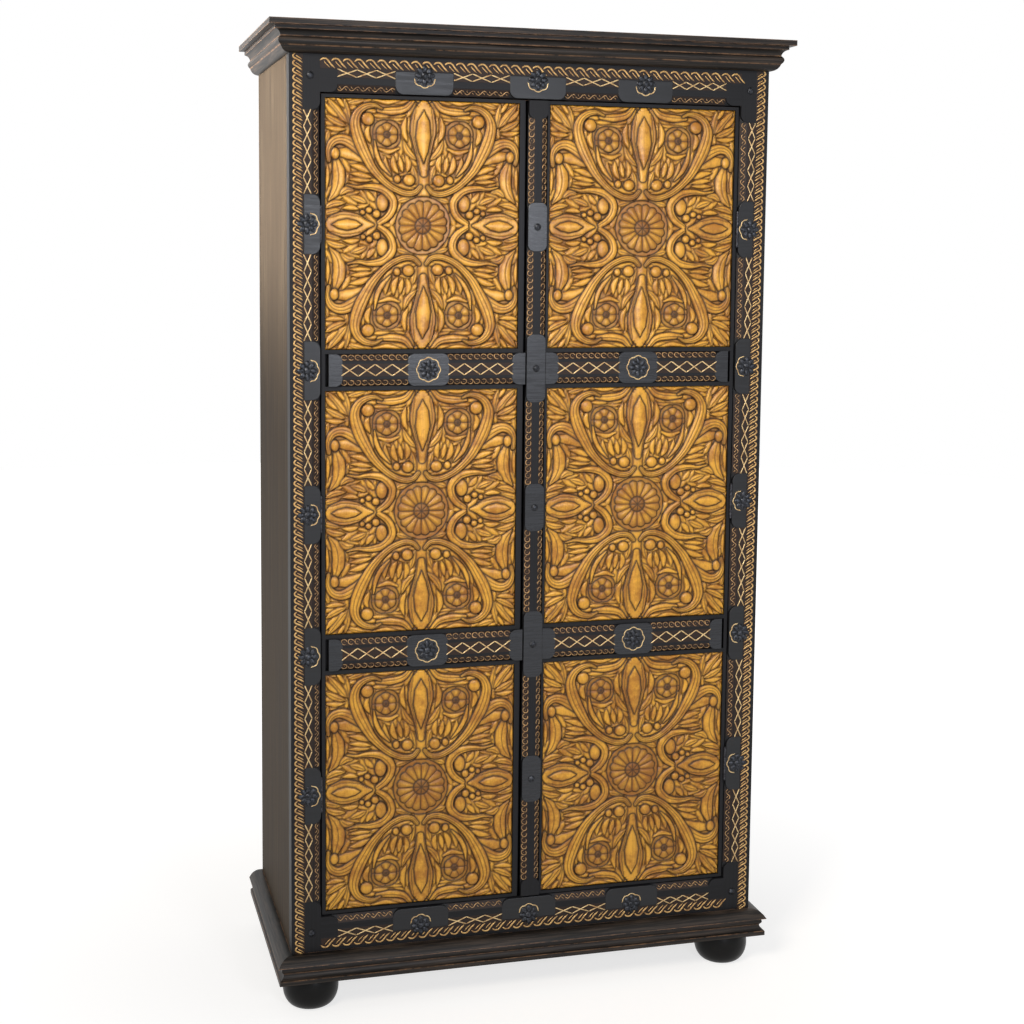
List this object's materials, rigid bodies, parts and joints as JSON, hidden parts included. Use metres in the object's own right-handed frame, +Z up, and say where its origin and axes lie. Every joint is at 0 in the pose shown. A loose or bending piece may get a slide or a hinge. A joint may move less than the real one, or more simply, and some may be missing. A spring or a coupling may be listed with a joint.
{
  "type": "cupboard",
  "caption": "Tall free-standing cupboard with hinged doors of carved foliate panels in a dark chamfered frame, a moulded cornice and base, bun feet and shelves inside.",
  "frame": {"origin": "centre of the bounding box in plan, on the floor under the feet", "axes": "+Z up, -Y out of the front, so +X is to the right of someone who faces the doors"},
  "size_m": [1.172, 0.566, 2.147],
  "materials": {
    "dark_wood": "satin wax on black stain",
    "carved_wood": "golden stain with dark glaze",
    "inner_wood": "plain brown stain",
    "stud_iron": "blackened",
    "hinge_steel": "blackened",
    "catch_plastic": "matte"
  },
  "bodies": {
    "carcass": {"back_boards": "inner_wood", "base_back_rail": "inner_wood", "base_front": "dark_wood", "base_left": "dark_wood", "base_right": "dark_wood", "catch_magnets": "catch_plastic", "cornice_front": "dark_wood", "cornice_left": "dark_wood", "cornice_right": "dark_wood", "door_stop": "inner_wood", "floor_board": "inner_wood", "foot_back_left": "dark_wood", "foot_back_right": "dark_wood", "foot_blocks": "inner_wood", "foot_front_left": "dark_wood", "foot_front_right": "dark_wood", "frame_bottom_rail": "dark_wood", "frame_hinge_leaves": "hinge_steel", "frame_left_stile": "dark_wood", "frame_right_stile": "dark_wood", "frame_studs": "stud_iron", "frame_top_rail": "dark_wood", "hinge_pins": "hinge_steel", "left_side": "dark_wood", "lower_shelf": "inner_wood", "middle_shelf": "inner_wood", "right_side": "dark_wood", "shelf_cleats": "inner_wood", "top_board": "dark_wood", "upper_shelf": "inner_wood"},
    "left_door": {"left_door_bottom_panel": "carved_wood", "left_door_bottom_rail": "dark_wood", "left_door_hinge_leaves": "hinge_steel", "left_door_hinge_stile": "dark_wood", "left_door_lower_bar": "dark_wood", "left_door_lower_rail": "dark_wood", "left_door_meeting_stile": "dark_wood", "left_door_middle_panel": "carved_wood", "left_door_strike": "hinge_steel", "left_door_studs": "stud_iron", "left_door_top_panel": "carved_wood", "left_door_top_rail": "dark_wood", "left_door_upper_bar": "dark_wood", "left_door_upper_rail": "dark_wood"},
    "right_door": {"right_door_bottom_panel": "carved_wood", "right_door_bottom_rail": "dark_wood", "right_door_hinge_leaves": "hinge_steel", "right_door_hinge_stile": "dark_wood", "right_door_lower_bar": "dark_wood", "right_door_lower_rail": "dark_wood", "right_door_meeting_stile": "dark_wood", "right_door_meeting_strip": "dark_wood", "right_door_middle_panel": "carved_wood", "right_door_strike": "hinge_steel", "right_door_studs": "stud_iron", "right_door_top_panel": "carved_wood", "right_door_top_rail": "dark_wood", "right_door_upper_bar": "dark_wood", "right_door_upper_rail": "dark_wood"}
  },
  "joints": [
    {"name": "left_door_hinge", "type": "hinge", "parent": "carcass", "child": "left_door", "pos_m": [-0.4735, -0.233, 1.108], "axis": [0, 0, -1], "range_deg": [0, 120]},
    {"name": "right_door_hinge", "type": "hinge", "parent": "carcass", "child": "right_door", "pos_m": [0.4735, -0.233, 1.108], "axis": [0, 0, 1], "range_deg": [0, 120]}
  ]
}
